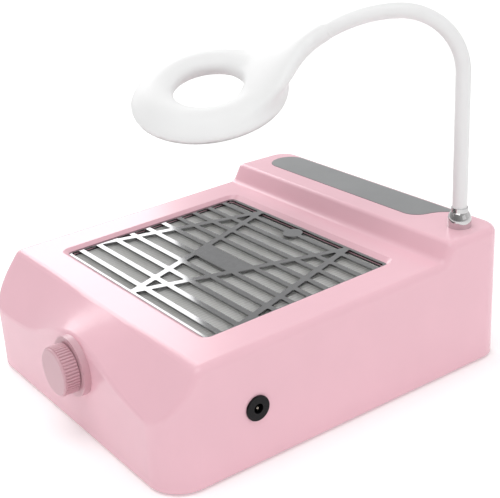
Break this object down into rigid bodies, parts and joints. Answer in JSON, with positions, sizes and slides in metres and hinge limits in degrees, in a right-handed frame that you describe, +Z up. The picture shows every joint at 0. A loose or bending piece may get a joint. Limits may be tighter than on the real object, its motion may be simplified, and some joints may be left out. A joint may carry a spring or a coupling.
{
  "type": "nail dust collector",
  "caption": "Desk-top nail dust collector: moulded housing with sloping front, filter under a lift-off polished grille, fan, speed knob, power socket, ring lamp on a bending neck.",
  "frame": {"origin": "centre of the whole object's footprint, on the table under the feet", "axes": "+Z up, +X to the right of someone facing the knob, +Y to the back"},
  "size_m": [0.2112, 0.2574, 0.2181],
  "materials": {
    "pink_shell": "satin moulded plastic",
    "pink_base": "fine-grained moulded plastic",
    "grey_panel": "satin grey plate",
    "polished_steel": "mirror polished",
    "magnet_metal": "nickel plated",
    "foot_rubber": "matt",
    "screw_steel": "zinc plated",
    "inner_plastic": "plain moulded",
    "filter_plastic": "plain moulded",
    "seal_foam": "soft foam",
    "filter_paper": "folded fibre paper",
    "guard_wire": "powder coated",
    "impeller_plastic": "plain moulded",
    "bearing_steel": "ground",
    "core_steel": "laminated",
    "coil_copper": "enamelled wire",
    "board_green": "solder resist",
    "knob_pink": "satin moulded plastic",
    "pot_metal": "pressed metal can",
    "spindle_metal": "turned",
    "black_gloss": "glossy",
    "pin_brass": "plated",
    "parts_black": "component cases",
    "ferrule_chrome": "polished",
    "neck_white": "smooth sleeve",
    "lamp_white": "satin moulded plastic",
    "lamp_lens": "frosted",
    "led_board_white": "white solder resist",
    "led_yellow": "phosphor"
  },
  "bodies": {
    "housing": {"upper_housing": "pink_shell", "ridge_panel": "grey_panel", "grille_magnets": "magnet_metal", "base_plate": "pink_base", "rubber_feet": "foot_rubber", "base_screws": "screw_steel", "filter_bay": "inner_plastic", "fan_case": "inner_plastic", "fan_cover": "inner_plastic", "fan_guard": "guard_wire", "bearings": "bearing_steel", "stator_core": "core_steel", "stator_coils": "coil_copper", "motor_board": "board_green", "fan_grommets": "foot_rubber", "fan_screws": "screw_steel", "knob_collar": "knob_pink", "potentiometer_body": "pot_metal", "potentiometer_nut": "screw_steel", "dc_jack_body": "black_gloss", "dc_jack_nut": "screw_steel", "dc_jack_pin": "pin_brass", "control_board": "board_green", "board_pillars": "inner_plastic", "board_parts": "parts_black", "lamp_ferrule": "ferrule_chrome", "ferrule_nut": "screw_steel"},
    "fan_rotor": {"impeller": "impeller_plastic", "rotor_magnet": "magnet_metal", "motor_shaft": "screw_steel"},
    "knob": {"speed_knob": "knob_pink", "potentiometer_shaft": "spindle_metal"},
    "grille": {"filter_grille": "polished_steel"},
    "filter": {"filter_frame": "filter_plastic", "filter_seal": "seal_foam", "filter_media": "filter_paper"},
    "neck_low": {"neck_lower": "neck_white"},
    "neck_mid": {"neck_middle": "neck_white"},
    "neck_high": {"neck_upper": "neck_white"},
    "neck_tip": {"neck_end": "neck_white"},
    "lamp_head": {"lamp_head_shell": "lamp_white", "lamp_diffuser": "lamp_lens", "led_board": "led_board_white", "led_chips": "led_yellow"}
  },
  "joints": [
    {"name": "fan_spin", "type": "hinge", "parent": "housing", "child": "fan_rotor", "pos_m": [-0.0006, 0.003, 0.019], "axis": [0, 0, 1], "continuous": true},
    {"name": "knob_turn", "type": "hinge", "parent": "housing", "child": "knob", "pos_m": [0.0139, -0.123, 0.044], "axis": [0, -1, 0], "range_deg": [-280, 0]},
    {"name": "grille_lift", "type": "slide", "parent": "housing", "child": "grille", "axis": [0, -0.027, 0.9996], "range_m": [0, 0.035]},
    {"name": "filter_lift", "type": "slide", "parent": "housing", "child": "filter", "axis": [0, -0.027, 0.9996], "range_m": [0, 0.022]},
    {"name": "neck_swing", "type": "hinge", "parent": "housing", "child": "neck_low", "pos_m": [0.0871, 0.108, 0.092], "axis": [0, 0, 1], "range_deg": [-20, 40]},
    {"name": "neck_bend_low", "type": "hinge", "parent": "neck_low", "child": "neck_mid", "pos_m": [0.0871, 0.108, 0.13], "axis": [0.766, -0.6428, 0], "range_deg": [-12, 3]},
    {"name": "neck_bend_high", "type": "hinge", "parent": "neck_mid", "child": "neck_high", "pos_m": [0.0871, 0.108, 0.1772], "axis": [0.766, -0.6428, 0], "range_deg": [-12, 3]},
    {"name": "neck_bend_top", "type": "hinge", "parent": "neck_high", "child": "neck_tip", "pos_m": [0.06364, 0.08004, 0.2137], "axis": [0.766, -0.6428, 0], "range_deg": [-12, 3]},
    {"name": "head_tilt", "type": "hinge", "parent": "neck_tip", "child": "lamp_head", "pos_m": [0.04213, 0.05441, 0.20647], "axis": [0.766, -0.6428, 0], "range_deg": [-20, 8]}
  ],
  "couplings": [
    {"joint": "filter_lift", "follows": "grille_lift", "ratio": 0.6}
  ]
}
